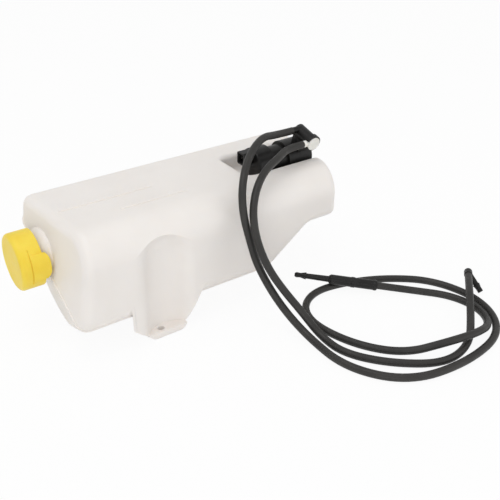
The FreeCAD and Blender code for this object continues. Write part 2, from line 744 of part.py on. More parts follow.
def make_commutator():
    drum = axial(commutator_x, commutator_x + commutator_length, commutator_radius)
    for i in range(3):
        slit = block(commutator_x - 1, commutator_x + commutator_length + 1, -0.3, 0.3,
                     commutator_radius - 0.8, 2 * commutator_radius)
        slit.rotate(V(0, 0, 0), AXIS_X, 120 * i)
        slit.translate(pump_axis)
        drum = drum.cut(slit)
    return drum.cut(axial(commutator_x - 1, commutator_x + commutator_length + 1, shaft_radius))


def brush_blocks(grow):
    inner = commutator_radius + brush_gap
    outer = can_radius - can_wall - 2.0
    middle = commutator_x + commutator_length / 2
    blocks = []
    for side in (-1, 1):
        low, high = sorted((side * inner, side * outer))
        blocks.append(block(middle - brush_width / 2 - grow, middle + brush_width / 2 + grow,
                            pump_y + low, pump_y + high,
                            pump_z - brush_height / 2 - grow, pump_z + brush_height / 2 + grow))
    return blocks


def make_brush_card():
    card = axial(can_start, can_start + card_thick, can_radius - can_wall - seat_gap)
    end = commutator_x + commutator_length / 2 + brush_width / 2 + 1.2
    near = commutator_radius + 1.0
    far = can_radius - can_wall - 2.5
    holders = []
    for side in (-1, 1):
        low, high = sorted((side * near, side * far))
        holders.append(block(can_start + card_thick / 2, end, pump_y + low, pump_y + high,
                             pump_z - brush_height / 2 - 1.2, pump_z + brush_height / 2 + 1.2))
    card = fuse([card] + holders)
    card = card.cut(axial(can_start - 1, can_start + card_thick + 1, commutator_radius + 0.6))
    for channel in brush_blocks(seat_gap):
        card = card.cut(channel)
    return card


def make_seal():
    return axial(bay_end, chamber_x, seal_radius - seat_gap).cut(
        axial(bay_end - 1, chamber_x + 1, shaft_radius + run_gap))


def make_impeller():
    start = shaft_end - impeller_height
    hub = axial(start, shaft_end, impeller_hub)
    disc = axial(start, start + 1.0, impeller_radius)
    vanes = []
    outer = impeller_radius
    for i in range(vane_count):
        arc_out = axial(start, shaft_end, outer * 0.75, 0, outer * 0.65)
        arc_in = axial(start - 1, shaft_end + 1, outer * 0.75 - vane_thick, 0, outer * 0.65)
        limit = axial(start - 1, shaft_end + 1, outer, 0, 0)
        side = block(start - 1, shaft_end + 1, 0, 2 * outer, -outer, outer * 0.65)
        vane = arc_out.cut(arc_in).common(limit).common(side)
        vane.rotate(V(0, 0, 0), AXIS_X, i * 360 / vane_count)
        vane.translate(pump_axis)
        vanes.append(vane)
    wheel = fuse([hub, disc] + vanes)
    return wheel.cut(axial(start - 1, shaft_end + 1, shaft_radius)).removeSplitter()


# Hose routes: the corners of each hose's path, chosen to lie as the hoses lie on the bench.
# A route starts at its nipple's collar and ends in its fitting.
rear_start = nipple_root(rear_nipple, rear_lift) - AXIS_X * nipple_reach
front_start = nipple_root(-front_nipple, 0) - AXIS_X * nipple_reach
low = hose_rest
rear_route = [
    (rear_start.x, rear_start.y, rear_start.z), (rear_start.x - 20, rear_start.y, rear_start.z),
    (77, -28, 159.5), (48, -46, 150), (28, -66, 134), (22, -76, 113), (25, -82, 88), (28, -92, 60),
    (36, -117, 28), (47, -148, low), (46, -204, low), (80, -250, low), (143, -260, low), (204, -248, low),
    (232, -202, low), (220, -146, low), (180, -112, low), (136, -94, low), (101, -90, low),
    (74, -106, low), (64, -137, low), (76, -183, low), (102, -220, 6), (136, -238, 15), (168, -245, 16),
    (201, -236, 7), (218, -208, low), (212, -176, low), (188, -148, low), (158, -123, 8)]
front_route = [
    (front_start.x, front_start.y, front_start.z), (front_start.x - 20, front_start.y, front_start.z),
    (87, -46, 143), (69, -53, 140), (53, -62, 136), (38.5, -72, 126), (29, -82, 110), (26, -93.5, 88.5),
    (31.5, -104, 63), (41, -117, 41.5), (51, -132, 22.5), (58, -152, low),
    (58, -186, low), (84, -222, low),
    (124, -250, low), (164, -243, low), (191, -219, 13), (215, -195, 21), (237, -175, 19)]


def corner_arcs(route):
    """Tangent arc at each inner corner: radius 0.45 of the shorter run over tan(half turn)."""
    points = [V(*p) for p in route]
    arcs = []
    for a, b, c in zip(points, points[1:], points[2:]):
        back, ahead = (a - b), (c - b)
        reach = 0.45 * min(back.Length, ahead.Length)
        turn = math.pi - back.getAngle(ahead)
        radius = reach / math.tan(turn / 2)
        start = b + V(back).normalize() * reach
        end = b + V(ahead).normalize() * reach
        bisector = (V(back).normalize() + V(ahead).normalize()).normalize()
        middle = b + bisector * (radius / math.cos(turn / 2) - radius)
        arcs.append((start, middle, end, radius))
    return points, arcs


def make_hose(route, name):
    points, arcs = corner_arcs(route)
    edges = []
    at = points[0]
    for start, middle, end, radius in arcs:
        edges.append(Part.LineSegment(at, start).toShape())
        edges.append(Part.Arc(start, middle, end).toShape())
        at = end
    edges.append(Part.LineSegment(at, points[-1]).toShape())
    path = Part.Wire(edges)
    ring = Part.Wire(Part.makeCircle(hose_diameter / 2, points[0], points[1] - points[0]))
    tube = path.makePipeShell([ring], True, True)
    length = path.Length
    area = math.pi * hose_diameter ** 2 / 4
    print(name, "length", round(length, 1), "volume share", round(tube.Volume / (area * length), 4))
    print(name, "radii", [round(radius) for _, _, _, radius in arcs])
    for end, inner in ((points[0], points[1]), (points[-1], points[-2])):
        tube = tube.cut(rod(end, inner - end, hose_socket, hose_bore / 2))
    return tube


def make_straight_connector():
    """Non-return valve at the rear hose's end: spigot, ribbed barrel and stepped tip."""
    end, before = V(*rear_route[-1]), V(*rear_route[-2])
    body = connector_body
    tip = body + connector_tip
    profile = [(-hose_socket + 1, 0), (-hose_socket + 1, nipple_radius), (0, nipple_radius),
               (0, connector_radius), (2, connector_radius + 0.5), (4, connector_radius),
               (body * 0.45, connector_radius), (body * 0.47, connector_radius + 0.4),
               (body * 0.53, connector_radius + 0.4), (body * 0.55, connector_radius),
               (body - 2, connector_radius), (body, connector_radius - 1.2), (body, connector_neck),
               (tip - 12, connector_neck - 0.4), (tip - 12, connector_neck + 0.6),
               (tip - 6, connector_neck - 0.8), (tip - 2, connector_neck - 0.4),
               (tip, connector_neck - 1.4), (tip, 0)]
    solid = turned(profile, 0, 0, 0)
    solid.Placement = FreeCAD.Placement(end, FreeCAD.Rotation(AXIS_X, end - before))
    return solid


def make_elbow():
    """Angled hose end at the front hose's end, its barbed leg reaching down to the bench."""
    end, before = V(*front_route[-1]), V(*front_route[-2])
    run = (end - before).normalize()
    inside = rod(end, -run, hose_socket - 1, nipple_radius)
    collar = rod(end, run, 7.0, hose_diameter / 2 + 0.5)
    bend = end + run * 7.0
    ball = Part.makeSphere(hose_diameter / 2 + 0.5, bend)
    down = V(0.12, -0.72, -0.68).normalize()
    leg = rod(bend, down, elbow_leg, elbow_radius - 0.6)
    barb_start = bend + down * (elbow_leg - 9)
    barb = Part.makeCone(elbow_radius + 0.3, elbow_radius - 0.9, 6.0, barb_start, down)
    return fuse([inside, collar, ball, leg, barb])


parts = {
    "tank": make_tank(),
    "filler_cap": make_filler_cap(),
    "cap_gasket": make_cap_gasket(),
    "pump_body": make_pump_body(),
    "inlet_cover": make_inlet_cover(),
    "pump_grommet": make_grommet(),
    "inlet_strainer": make_strainer(),
    "motor_end_cap": make_end_cap(),
    "terminals": make_terminals(),
    "outlet_cap": make_outlet_cap(),
    "valve_diaphragm": make_diaphragm(),
    "motor_can": make_can(),
    "motor_magnets": make_magnets(),
    "rear_bush": make_bush(shaft_start),
    "front_bush": make_bush(can_end - bush_length),
    "armature_core": make_core(),
    "windings": make_windings(),
    "commutator": make_commutator(),
    "brushes": Part.makeCompound(brush_blocks(0)),
    "brush_card": make_brush_card(),
    "shaft_seal": make_seal(),
    "motor_shaft": axial(shaft_start, shaft_end, shaft_radius),
    "impeller": make_impeller(),
    "rear_hose": make_hose(rear_route, "rear_hose"),
    "front_hose": make_hose(front_route, "front_hose"),
    "straight_connector": make_straight_connector(),
    "elbow_connector": make_elbow(),
}

os.makedirs("parts", exist_ok=True)
for name, shape in parts.items():
    box = shape.optimalBoundingBox()
    print(name, "solids", len(shape.Solids), "valid", shape.isValid(), "volume", round(shape.Volume),
          "X", round(box.XMin, 1), round(box.XMax, 1), "Y", round(box.YMin, 1), round(box.YMax, 1),
          "Z", round(box.ZMin, 1), round(box.ZMax, 1))
    shape.exportStep("parts/" + name + ".step")
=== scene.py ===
import math

import bpy
import bmesh
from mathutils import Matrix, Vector


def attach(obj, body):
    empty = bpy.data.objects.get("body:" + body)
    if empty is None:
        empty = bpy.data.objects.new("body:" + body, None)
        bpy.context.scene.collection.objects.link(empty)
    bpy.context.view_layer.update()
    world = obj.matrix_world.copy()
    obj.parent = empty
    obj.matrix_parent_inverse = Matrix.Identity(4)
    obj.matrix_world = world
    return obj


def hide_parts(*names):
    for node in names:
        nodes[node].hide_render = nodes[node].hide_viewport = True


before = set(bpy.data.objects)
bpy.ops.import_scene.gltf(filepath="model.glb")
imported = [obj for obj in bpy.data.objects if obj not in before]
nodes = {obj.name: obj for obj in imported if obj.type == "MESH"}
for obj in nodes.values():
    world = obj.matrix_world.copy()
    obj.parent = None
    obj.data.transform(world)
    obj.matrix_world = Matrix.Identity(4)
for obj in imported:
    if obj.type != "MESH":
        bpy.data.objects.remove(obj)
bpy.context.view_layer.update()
scene = bpy.context.scene
scene.view_settings.view_transform = "Standard"
print("frame loaded:", len(nodes), "nodes")

# camera
photoView = {
    "place": (-0.3268, -0.5858, 0.430),
    "pitch": 30,        # degrees below the horizon
    "heading": -35,     # degrees round Z
    "lens": 54.0,
    "sensor": 36.0,
}
cameraData = bpy.data.cameras.new("photoCamera")
cameraData.lens = photoView["lens"]
cameraData.sensor_width = photoView["sensor"]
camera = bpy.data.objects.new("photoCamera", cameraData)
scene.collection.objects.link(camera)
camera.location = photoView["place"]
camera.rotation_euler = (
    math.radians(90 - photoView["pitch"]), 0, math.radians(photoView["heading"]))
scene.camera = camera
print("camera set")

# hoses: the route points of the two hoses, in metres
hose = {"diameter": 0.0075, "rings": 6, "steps": 10, "order": 3}
low = 0.00385           # hose axis when it lies on the floor
rearHose = {
    "name": "washerHoseRear",
    "node": "rear_hose",
    "end": "straight_connector",
    "length": 1.1453,
    "route": [
        (0.1235, -0.0180, 0.1528), (0.1035, -0.0180, 0.1528), (0.077, -0.028, 0.1595),
        (0.048, -0.046, 0.150), (0.028, -0.066, 0.134), (0.022, -0.076, 0.113),
        (0.025, -0.082, 0.088), (0.028, -0.092, 0.060), (0.036, -0.117, 0.028),
        (0.047, -0.148, low), (0.046, -0.204, low), (0.080, -0.250, low), (0.143, -0.260, low),
        (0.204, -0.248, low), (0.232, -0.202, low), (0.220, -0.146, low), (0.180, -0.112, low),
        (0.136, -0.094, low), (0.101, -0.090, low), (0.074, -0.106, low), (0.064, -0.137, low),
        (0.076, -0.183, low), (0.102, -0.220, 0.006), (0.136, -0.238, 0.015),
        (0.168, -0.245, 0.016), (0.201, -0.236, 0.007), (0.218, -0.208, low),
        (0.212, -0.176, low), (0.188, -0.148, low), (0.158, -0.123, 0.008),
    ],
}
frontHose = {
    "name": "washerHoseFront",
    "node": "front_hose",
    "end": "elbow_connector",
    "length": 0.5156,
    "route": [
        (0.1235, -0.0357, 0.1437), (0.1035, -0.0357, 0.1437), (0.087, -0.046, 0.143),
        (0.069, -0.053, 0.140), (0.053, -0.062, 0.136), (0.0385, -0.072, 0.126),
        (0.029, -0.082, 0.110), (0.026, -0.0935, 0.0885), (0.0315, -0.104, 0.063),
        (0.041, -0.117, 0.0415), (0.051, -0.132, 0.0225), (0.058, -0.152, low),
        (0.058, -0.186, low), (0.084, -0.222, low), (0.124, -0.250, low), (0.164, -0.243, low),
        (0.191, -0.219, 0.013), (0.215, -0.195, 0.021), (0.237, -0.175, 0.019),
    ],
}


def layHose(facts):
    curve = bpy.data.curves.new(facts["name"], "CURVE")
    curve.dimensions = "3D"
    curve.resolution_u = hose["steps"]
    curve.bevel_depth = 1.0         # the points' radius gives the thickness
    curve.bevel_resolution = hose["rings"]
    curve.use_fill_caps = True
    spline = curve.splines.new("NURBS")
    spline.points.add(len(facts["route"]) - 1)
    for point, place in zip(spline.points, facts["route"]):
        point.co = (*place, 1.0)
        point.radius = hose["diameter"] / 2
    spline.order_u = hose["order"]
    spline.use_endpoint_u = True
    piece = bpy.data.objects.new(facts["name"], curve)
    scene.collection.objects.link(piece)
    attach(piece, "tank")
    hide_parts(facts["node"])
    return piece


hosePieces = [layHose(rearHose), layHose(frontHose)]
print("hoses laid")


# modelling helpers
weldGap = 0.00002       # points closer than this are merged
sharpAngle = 40         # degrees from which an edge counts as sharp


def beginEdit(piece):
    bpy.ops.object.select_all(action="DESELECT")
    piece.select_set(True)
    bpy.context.view_layer.objects.active = piece
    bpy.ops.object.mode_set(mode="EDIT")


def pickFaces(piece, test):
    bpy.ops.mesh.select_mode(type="FACE")
    bpy.ops.mesh.select_all(action="DESELECT")
    mesh = bmesh.from_edit_mesh(piece.data)
    for face in mesh.faces:
        face.select = test(face.calc_center_median(), face.normal)
    mesh.select_flush_mode()
    bmesh.update_edit_mesh(piece.data)


def pickEdges(piece, test):
    bpy.ops.mesh.select_mode(type="EDGE")
    bpy.ops.mesh.select_all(action="DESELECT")
    mesh = bmesh.from_edit_mesh(piece.data)
    for edge in mesh.edges:
        edge.select = test(edge.verts[0].co, edge.verts[1].co)
    mesh.select_flush_mode()
    bmesh.update_edit_mesh(piece.data)


def endEdit():
    bpy.ops.mesh.select_all(action="SELECT")
    bpy.ops.mesh.remove_doubles(threshold=weldGap)
    bpy.ops.mesh.normals_make_consistent(inside=False)
    bpy.ops.object.mode_set(mode="OBJECT")
    bpy.ops.object.shade_smooth_by_angle(angle=math.radians(sharpAngle))


def softenEdges(piece, width, segments):
    edge = piece.modifiers.new("edgeRound", "BEVEL")
    edge.width = width
    edge.segments = segments
    edge.limit_method = "ANGLE"
    edge.angle_limit = math.radians(sharpAngle)
    bpy.context.view_layer.objects.active = piece
    bpy.ops.object.modifier_apply(modifier="edgeRound")


# filler cap: push-on cap with a groove and a flared thumb tab behind it
fillerCap = {
    "face": -0.1685,        # front face along X
    "axis": (0.020, 0.077),     # across and up
    "radius": 0.0275,
    "sides": 120,
    "depth": 0.022,
    "wall": 0.002,
    "plate": 0.0025,
    "frontRound": 0.0042,
    "roundSteps": 7,
    "dish": 0.0004,         # each of two rings sinks by this much
    "dishRing": 0.008,
    "grooveStart": 0.0095,  # from the face
    "grooveWidth": 0.0010,
    "grooveDeep": 0.0009,
    "grooveHalf": 37,       # degrees each side of the tab's middle
    "tabHalf": 25,
    "tabTurn": 8,           # tab's middle, degrees above the front
    "tabRise": 0.0026,
    "tabFront": 0.0003,     # rise that is left at the front edge
    "tabOver": 0.005,       # reach past the rear rim
    "tabLeast": 0.0002,     # reach at its sides
    "tabSide": 26.5,        # degrees where the end is drawn back fully
    "tabDraw": 3.5,         # a higher power keeps the end straight for longer
    "edgeRound": 0.0006,
    "edgeSteps": 3,
}


def makeFillerCap(facts):
    bpy.ops.object.select_all(action="DESELECT")
    axisY, axisZ = facts["axis"]
    rear = facts["face"] + facts["depth"]
    radius = facts["radius"]
    grooveEnd = facts["face"] + facts["grooveStart"] + facts["grooveWidth"]
    near = 0.0001               # slack when faces and edges are picked
    outer = radius - 3 * near   # faces further out are on the outer wall
    square = 0.9                # least share of a normal along the axis
    bpy.ops.mesh.primitive_cylinder_add(
        vertices=facts["sides"], radius=radius, depth=facts["depth"],
        rotation=(0, math.radians(90), 0),
        location=(facts["face"] + facts["depth"] / 2, axisY, axisZ))
    piece = bpy.context.object
    piece.name = "fillerCap"
    bpy.ops.object.transform_apply(location=True, rotation=True, scale=True)

    def spread(point):
        return math.hypot(point.y - axisY, point.z - axisZ)

    def turn(point):        # degrees away from the tab's middle
        return abs(math.degrees(math.atan2(point.z - axisZ, axisY - point.y)) - facts["tabTurn"])

    beginEdit(piece)
    # hollow from behind
    pickFaces(piece, lambda middle, normal: normal.x > square)
    bpy.ops.mesh.inset(thickness=facts["wall"])
    bpy.ops.mesh.extrude_region_move(
        TRANSFORM_OT_translate={"value": (facts["plate"] - facts["depth"], 0, 0)})
    # front face a little dished
    pickFaces(piece, lambda middle, normal: normal.x < -square)
    for ring in range(2):
        bpy.ops.mesh.inset(thickness=facts["dishRing"])
        bpy.ops.transform.translate(value=(facts["dish"], 0, 0))
    # rounded front rim
    pickEdges(piece, lambda a, b: max(a.x, b.x) < facts["face"] + near
              and min(spread(a), spread(b)) > radius - near)
    bpy.ops.mesh.bevel(offset=facts["frontRound"], segments=facts["roundSteps"], profile=0.5)
    # groove in front of the tab
    for place in (grooveEnd - facts["grooveWidth"], grooveEnd):
        bpy.ops.mesh.select_all(action="SELECT")
        bpy.ops.mesh.bisect(plane_co=(place, 0, 0), plane_no=(1, 0, 0))
    pickFaces(piece, lambda middle, normal: grooveEnd - facts["grooveWidth"] < middle.x < grooveEnd
              and spread(middle) > outer and turn(middle) < facts["grooveHalf"])
    bpy.ops.mesh.extrude_region_shrink_fatten(
        TRANSFORM_OT_shrink_fatten={"value": -facts["grooveDeep"]})
    # tab: raised behind the groove and past the rear rim, its corners rounded
    pickFaces(piece, lambda middle, normal: middle.x > grooveEnd and abs(normal.x) < square
              and spread(middle) > outer and turn(middle) < facts["tabHalf"])
    bpy.ops.mesh.extrude_region_shrink_fatten(
        TRANSFORM_OT_shrink_fatten={"value": facts["tabRise"]})
    pickFaces(piece, lambda middle, normal: middle.x > rear - near and normal.x > square
              and spread(middle) > radius - facts["wall"] and turn(middle) < facts["tabHalf"])
    bpy.ops.mesh.extrude_region_move(TRANSFORM_OT_translate={"value": (facts["tabOver"], 0, 0)})
    # the tab's end is drawn back towards its sides, and its front edge sinks into the cap
    least = facts["tabLeast"]
    mesh = bmesh.from_edit_mesh(piece.data)
    for vert in mesh.verts:
        if vert.co.x > rear + near:
            aside = min(turn(vert.co) / facts["tabSide"], 1.0)
            reach = (facts["tabOver"] - least) * (1 - aside ** facts["tabDraw"])
            vert.co.x = rear + least + reach
        if vert.co.x < grooveEnd + 2 * near and spread(vert.co) > radius + facts["tabRise"] / 2:
            lean = (radius + facts["tabFront"]) / spread(vert.co)
            vert.co.y = axisY + (vert.co.y - axisY) * lean
            vert.co.z = axisZ + (vert.co.z - axisZ) * lean
    bmesh.update_edit_mesh(piece.data)
    endEdit()
    softenEdges(piece, facts["edgeRound"], facts["edgeSteps"])
    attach(piece, "cap")
    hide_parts("filler_cap")
    return piece


capPiece = makeFillerCap(fillerCap)
print("filler cap modelled")


# hidden left side of the foot: walls that the tank's solid lacks, cut from planes
footSide = {
    "front": Vector((-0.092, -0.064, 0)),   # where the side leaves the front face
    "turn": Vector((-0.069, -0.031, 0)),    # where it turns straight back
    "back": Vector((-0.069, -0.006, 0)),
    "wall": 0.0025,
    "frontGap": 0.0015,                     # clear of the front face's own wall
    "floor": (0, 0, 0.0003),
    "corner": (-0.092, 0, 0.018),           # slanted lower corner, a point and its way in
    "cornerIn": (0.651, 0, 0.759),
    "top": (0, -0.064, 0.046),              # upper edge, a point and its way up
    "topUp": (0, 0.633, 0.774),
    "backStart": (0, -0.0315, 0),
    "backTop": (0, -0.031, 0.0185),
    "backTopUp": (0, 0.489, 0.872),
}
# strips that close the sloping bottom above those walls
footSeam = {
    "sill": 0.034,          # height of the sloping bottom at the front face
    "slope": 0.5488,
    "middle": -0.0475,      # the strips' middle along Y
    "run": 0.0165,          # from the front face to that middle
    "lift": 0.0003,
    "wall": 0.0015,
    "width": 0.0032,
    "tuck": 0.001,          # reach in past the side
    "start": (0, -0.060, 0),
    "backStart": (0, -0.0335, 0),
    "backEnd": (0, -0.004, 0),
}
planeSize = 0.25            # larger than any wall that is cut from it


def cutPlane(name, place, tilt, cuts, wall):
    bpy.ops.object.select_all(action="DESELECT")
    bpy.ops.mesh.primitive_plane_add(size=planeSize, location=place, rotation=tilt)
    piece = bpy.context.object
    piece.name = name
    bpy.ops.object.transform_apply(location=True, rotation=True, scale=True)
    beginEdit(piece)
    for spot, facing, keepAhead in cuts:
        bpy.ops.mesh.select_all(action="SELECT")
        bpy.ops.mesh.bisect(plane_co=spot, plane_no=facing,
                            clear_inner=keepAhead, clear_outer=not keepAhead)
    bpy.ops.object.mode_set(mode="OBJECT")
    shell = piece.modifiers.new("shell", "SOLIDIFY")
    shell.thickness = wall
    bpy.ops.object.modifier_apply(modifier="shell")
    return piece


def makeFootSide(facts, strip):
    front, turn = facts["front"], facts["turn"]
    run = (turn - front).normalized()
    outward = Vector((-run.y, run.x, 0))
    right, backward, up = (1, 0, 0), (0, 1, 0), (0, 0, 1)
    upright = math.radians(90)
    swing = math.atan2(outward.y, outward.x) + math.radians(90)
    lying = (math.radians(180) - math.atan(strip["slope"]), 0, 0)
    height = strip["sill"] - strip["slope"] * strip["run"] + strip["lift"]
    pieces = [
        cutPlane("footSide", (front + turn) / 2, (upright, 0, swing), [
            (front + run * facts["frontGap"], run, True),
            (turn, run, False),
            (facts["floor"], up, True),
            (facts["top"], facts["topUp"], False),
            (facts["corner"], facts["cornerIn"], True),
        ], facts["wall"]),
        cutPlane("footSideBack", turn, (upright, 0, -upright), [
            (facts["backStart"], backward, True),
            (facts["back"], backward, False),
            (facts["floor"], up, True),
            (facts["backTop"], facts["backTopUp"], False),
        ], facts["wall"]),
        cutPlane("footSeam", ((front.x + turn.x) / 2, strip["middle"], height), lying, [
            (strip["start"], backward, True),
            (turn, backward, False),
            (front - outward * strip["tuck"], outward, True),
            (front + outward * strip["width"], outward, False),
        ], strip["wall"]),
        cutPlane("footSeamBack", (turn.x, strip["middle"], height), lying, [
            (strip["backStart"], backward, True),
            (strip["backEnd"], backward, False),
            ((turn.x - strip["width"], 0, 0), right, True),
            ((turn.x + strip["tuck"], 0, 0), right, False),
        ], strip["wall"]),
    ]
    bpy.ops.object.select_all(action="DESELECT")
    for piece in pieces:
        piece.select_set(True)
    bpy.context.view_layer.objects.active = pieces[0]
    bpy.ops.object.join()
    beginEdit(pieces[0])
    endEdit()
    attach(pieces[0], "tank")
    return pieces[0]


footPiece = makeFootSide(footSide, footSeam)
print("foot side closed")


# shared finishes: node groups that put out colour, roughness and height
def newGroup(name, inputs, outputs):
    group = bpy.data.node_groups.new(name, "ShaderNodeTree")
    for label, kind, value in inputs:
        socket = group.interface.new_socket(name=label, in_out="INPUT", socket_type=kind)
        if value is not None:
            socket.default_value = value
    for label, kind in outputs:
        group.interface.new_socket(name=label, in_out="OUTPUT", socket_type=kind)
    return group, group.nodes.new("NodeGroupInput"), group.nodes.new("NodeGroupOutput")


def addNoise(tree, place, scale, detail=3.0, roughness=0.5):
    noise = tree.nodes.new("ShaderNodeTexNoise")
    noise.inputs["Detail"].default_value = detail
    noise.inputs["Roughness"].default_value = roughness
    tree.links.new(place, noise.inputs["Vector"])
    if isinstance(scale, float):
        noise.inputs["Scale"].default_value = scale
    else:
        tree.links.new(scale, noise.inputs["Scale"])
    return noise.outputs["Fac"]


def addMix(tree, share, first, second):
    mix = tree.nodes.new("ShaderNodeMix")
    mix.data_type = "RGBA"
    tree.links.new(share, mix.inputs["Factor"])
    for source, socket in ((first, mix.inputs["A"]), (second, mix.inputs["B"])):
        if isinstance(source, tuple):
            socket.default_value = source
        else:
            tree.links.new(source, socket)
    return mix.outputs["Result"]


def addRange(tree, value, fromMin, fromMax, toMin, toMax):
    span = tree.nodes.new("ShaderNodeMapRange")
    tree.links.new(value, span.inputs["Value"])
    limits = {"From Min": fromMin, "From Max": fromMax, "To Min": toMin, "To Max": toMax}
    for label, source in limits.items():
        if isinstance(source, float):
            span.inputs[label].default_value = source
        else:
            tree.links.new(source, span.inputs[label])
    return span.outputs["Result"]


def addMath(tree, operation, first, second):
    sums = tree.nodes.new("ShaderNodeMath")
    sums.operation = operation
    tree.links.new(first, sums.inputs[0])
    if isinstance(second, float):
        sums.inputs[1].default_value = second
    else:
        tree.links.new(second, sums.inputs[1])
    return sums.outputs[0]


def makeMouldedSkin():
    group, given, result = newGroup("mouldedSkin", [
        ("Place", "NodeSocketVector", None),
        ("Colour", "NodeSocketColor", (0.8, 0.8, 0.8, 1)),
        ("Shade", "NodeSocketColor", (0.7, 0.7, 0.7, 1)),
        ("Cloud Scale", "NodeSocketFloat", 20.0),
        ("Grain Scale", "NodeSocketFloat", 900.0),
        ("Gloss Low", "NodeSocketFloat", 0.3),
        ("Gloss High", "NodeSocketFloat", 0.5),
    ], [
        ("Colour", "NodeSocketColor"),
        ("Roughness", "NodeSocketFloat"),
        ("Height", "NodeSocketFloat"),
    ])
    place = given.outputs["Place"]
    cloud = addNoise(group, place, given.outputs["Cloud Scale"])
    grain = addNoise(group, place, given.outputs["Grain Scale"], detail=2.0)
    rub = addNoise(group, place, 160.0, detail=4.0, roughness=0.6)
    share = addRange(group, cloud, 0.35, 0.68, 0.0, 1.0)
    colour = addMix(group, share, given.outputs["Colour"], given.outputs["Shade"])
    gloss = addRange(group, rub, 0.3, 0.7, given.outputs["Gloss Low"], given.outputs["Gloss High"])
    group.links.new(colour, result.inputs["Colour"])
    group.links.new(gloss, result.inputs["Roughness"])
    group.links.new(grain, result.inputs["Height"])
    return group


def makeScuffs():
    # pale rubbed streaks and dust, for dark plastic and rubber
    group, given, result = newGroup("scuffs", [
        ("Place", "NodeSocketVector", None),
        ("Streak Scale", "NodeSocketFloat", 60.0),
        ("Amount", "NodeSocketFloat", 0.4),
    ], [("Mask", "NodeSocketFloat")])
    place = given.outputs["Place"]
    patches = addNoise(group, place, given.outputs["Streak Scale"], detail=5.0, roughness=0.65)
    fine = addNoise(group, place, 700.0, detail=2.0)
    worn = addRange(group, patches, 0.5, 0.75, 0.0, 1.0)
    dots = addRange(group, fine, 0.4, 0.7, 0.2, 1.0)
    mask = addMath(group, "MULTIPLY", worn, dots)
    mask = addMath(group, "MULTIPLY", mask, given.outputs["Amount"])
    group.links.new(mask, result.inputs["Mask"])
    return group


mouldedSkin = makeMouldedSkin()
scuffs = makeScuffs()


def addPlace(tree, stretch=(1, 1, 1)):
    coords = tree.nodes.new("ShaderNodeTexCoord")
    mapping = tree.nodes.new("ShaderNodeMapping")
    mapping.inputs["Scale"].default_value = stretch
    tree.links.new(coords.outputs["Object"], mapping.inputs["Vector"])
    return mapping.outputs["Vector"]


def addBump(tree, shader, height, strength, distance):
    bump = tree.nodes.new("ShaderNodeBump")
    bump.inputs["Strength"].default_value = strength
    bump.inputs["Distance"].default_value = distance
    tree.links.new(height, bump.inputs["Height"])
    tree.links.new(bump.outputs["Normal"], shader.inputs["Normal"])
    return bump


grainDeep = 0.0004      # depth of the grain at full strength


def newPaint(name):
    paint = bpy.data.materials.new(name)
    paint.use_nodes = True
    return paint, paint.node_tree, paint.node_tree.nodes["Principled BSDF"]


def addSkin(tree, finish, place):
    skin = tree.nodes.new("ShaderNodeGroup")
    skin.node_tree = mouldedSkin
    tree.links.new(place, skin.inputs["Place"])
    skin.inputs["Colour"].default_value = (*finish["colour"], 1)
    skin.inputs["Shade"].default_value = (*finish["shade"], 1)
    skin.inputs["Cloud Scale"].default_value = finish["cloud"]
    skin.inputs["Grain Scale"].default_value = finish["grain"]
    skin.inputs["Gloss Low"].default_value = finish["gloss"][0]
    skin.inputs["Gloss High"].default_value = finish["gloss"][1]
    return skin


def makePaint(name, finish):
    paint, tree, shader = newPaint(name)
    place = addPlace(tree, finish.get("stretch", (1, 1, 1)))
    skin = addSkin(tree, finish, place)
    colour = skin.outputs["Colour"]
    if "scuff" in finish:
        rubbed = tree.nodes.new("ShaderNodeGroup")
        rubbed.node_tree = scuffs
        tree.links.new(place, rubbed.inputs["Place"])
        rubbed.inputs["Streak Scale"].default_value = finish["scuff"]["scale"]
        rubbed.inputs["Amount"].default_value = finish["scuff"]["amount"]
        colour = addMix(tree, rubbed.outputs["Mask"], colour, (*finish["scuff"]["colour"], 1))
    tree.links.new(colour, shader.inputs["Base Color"])
    tree.links.new(skin.outputs["Roughness"], shader.inputs["Roughness"])
    addBump(tree, shader, skin.outputs["Height"], finish["bump"], grainDeep)
    for socket, value in finish.get("shader", {}).items():
        shader.inputs[socket].default_value = value
    return paint


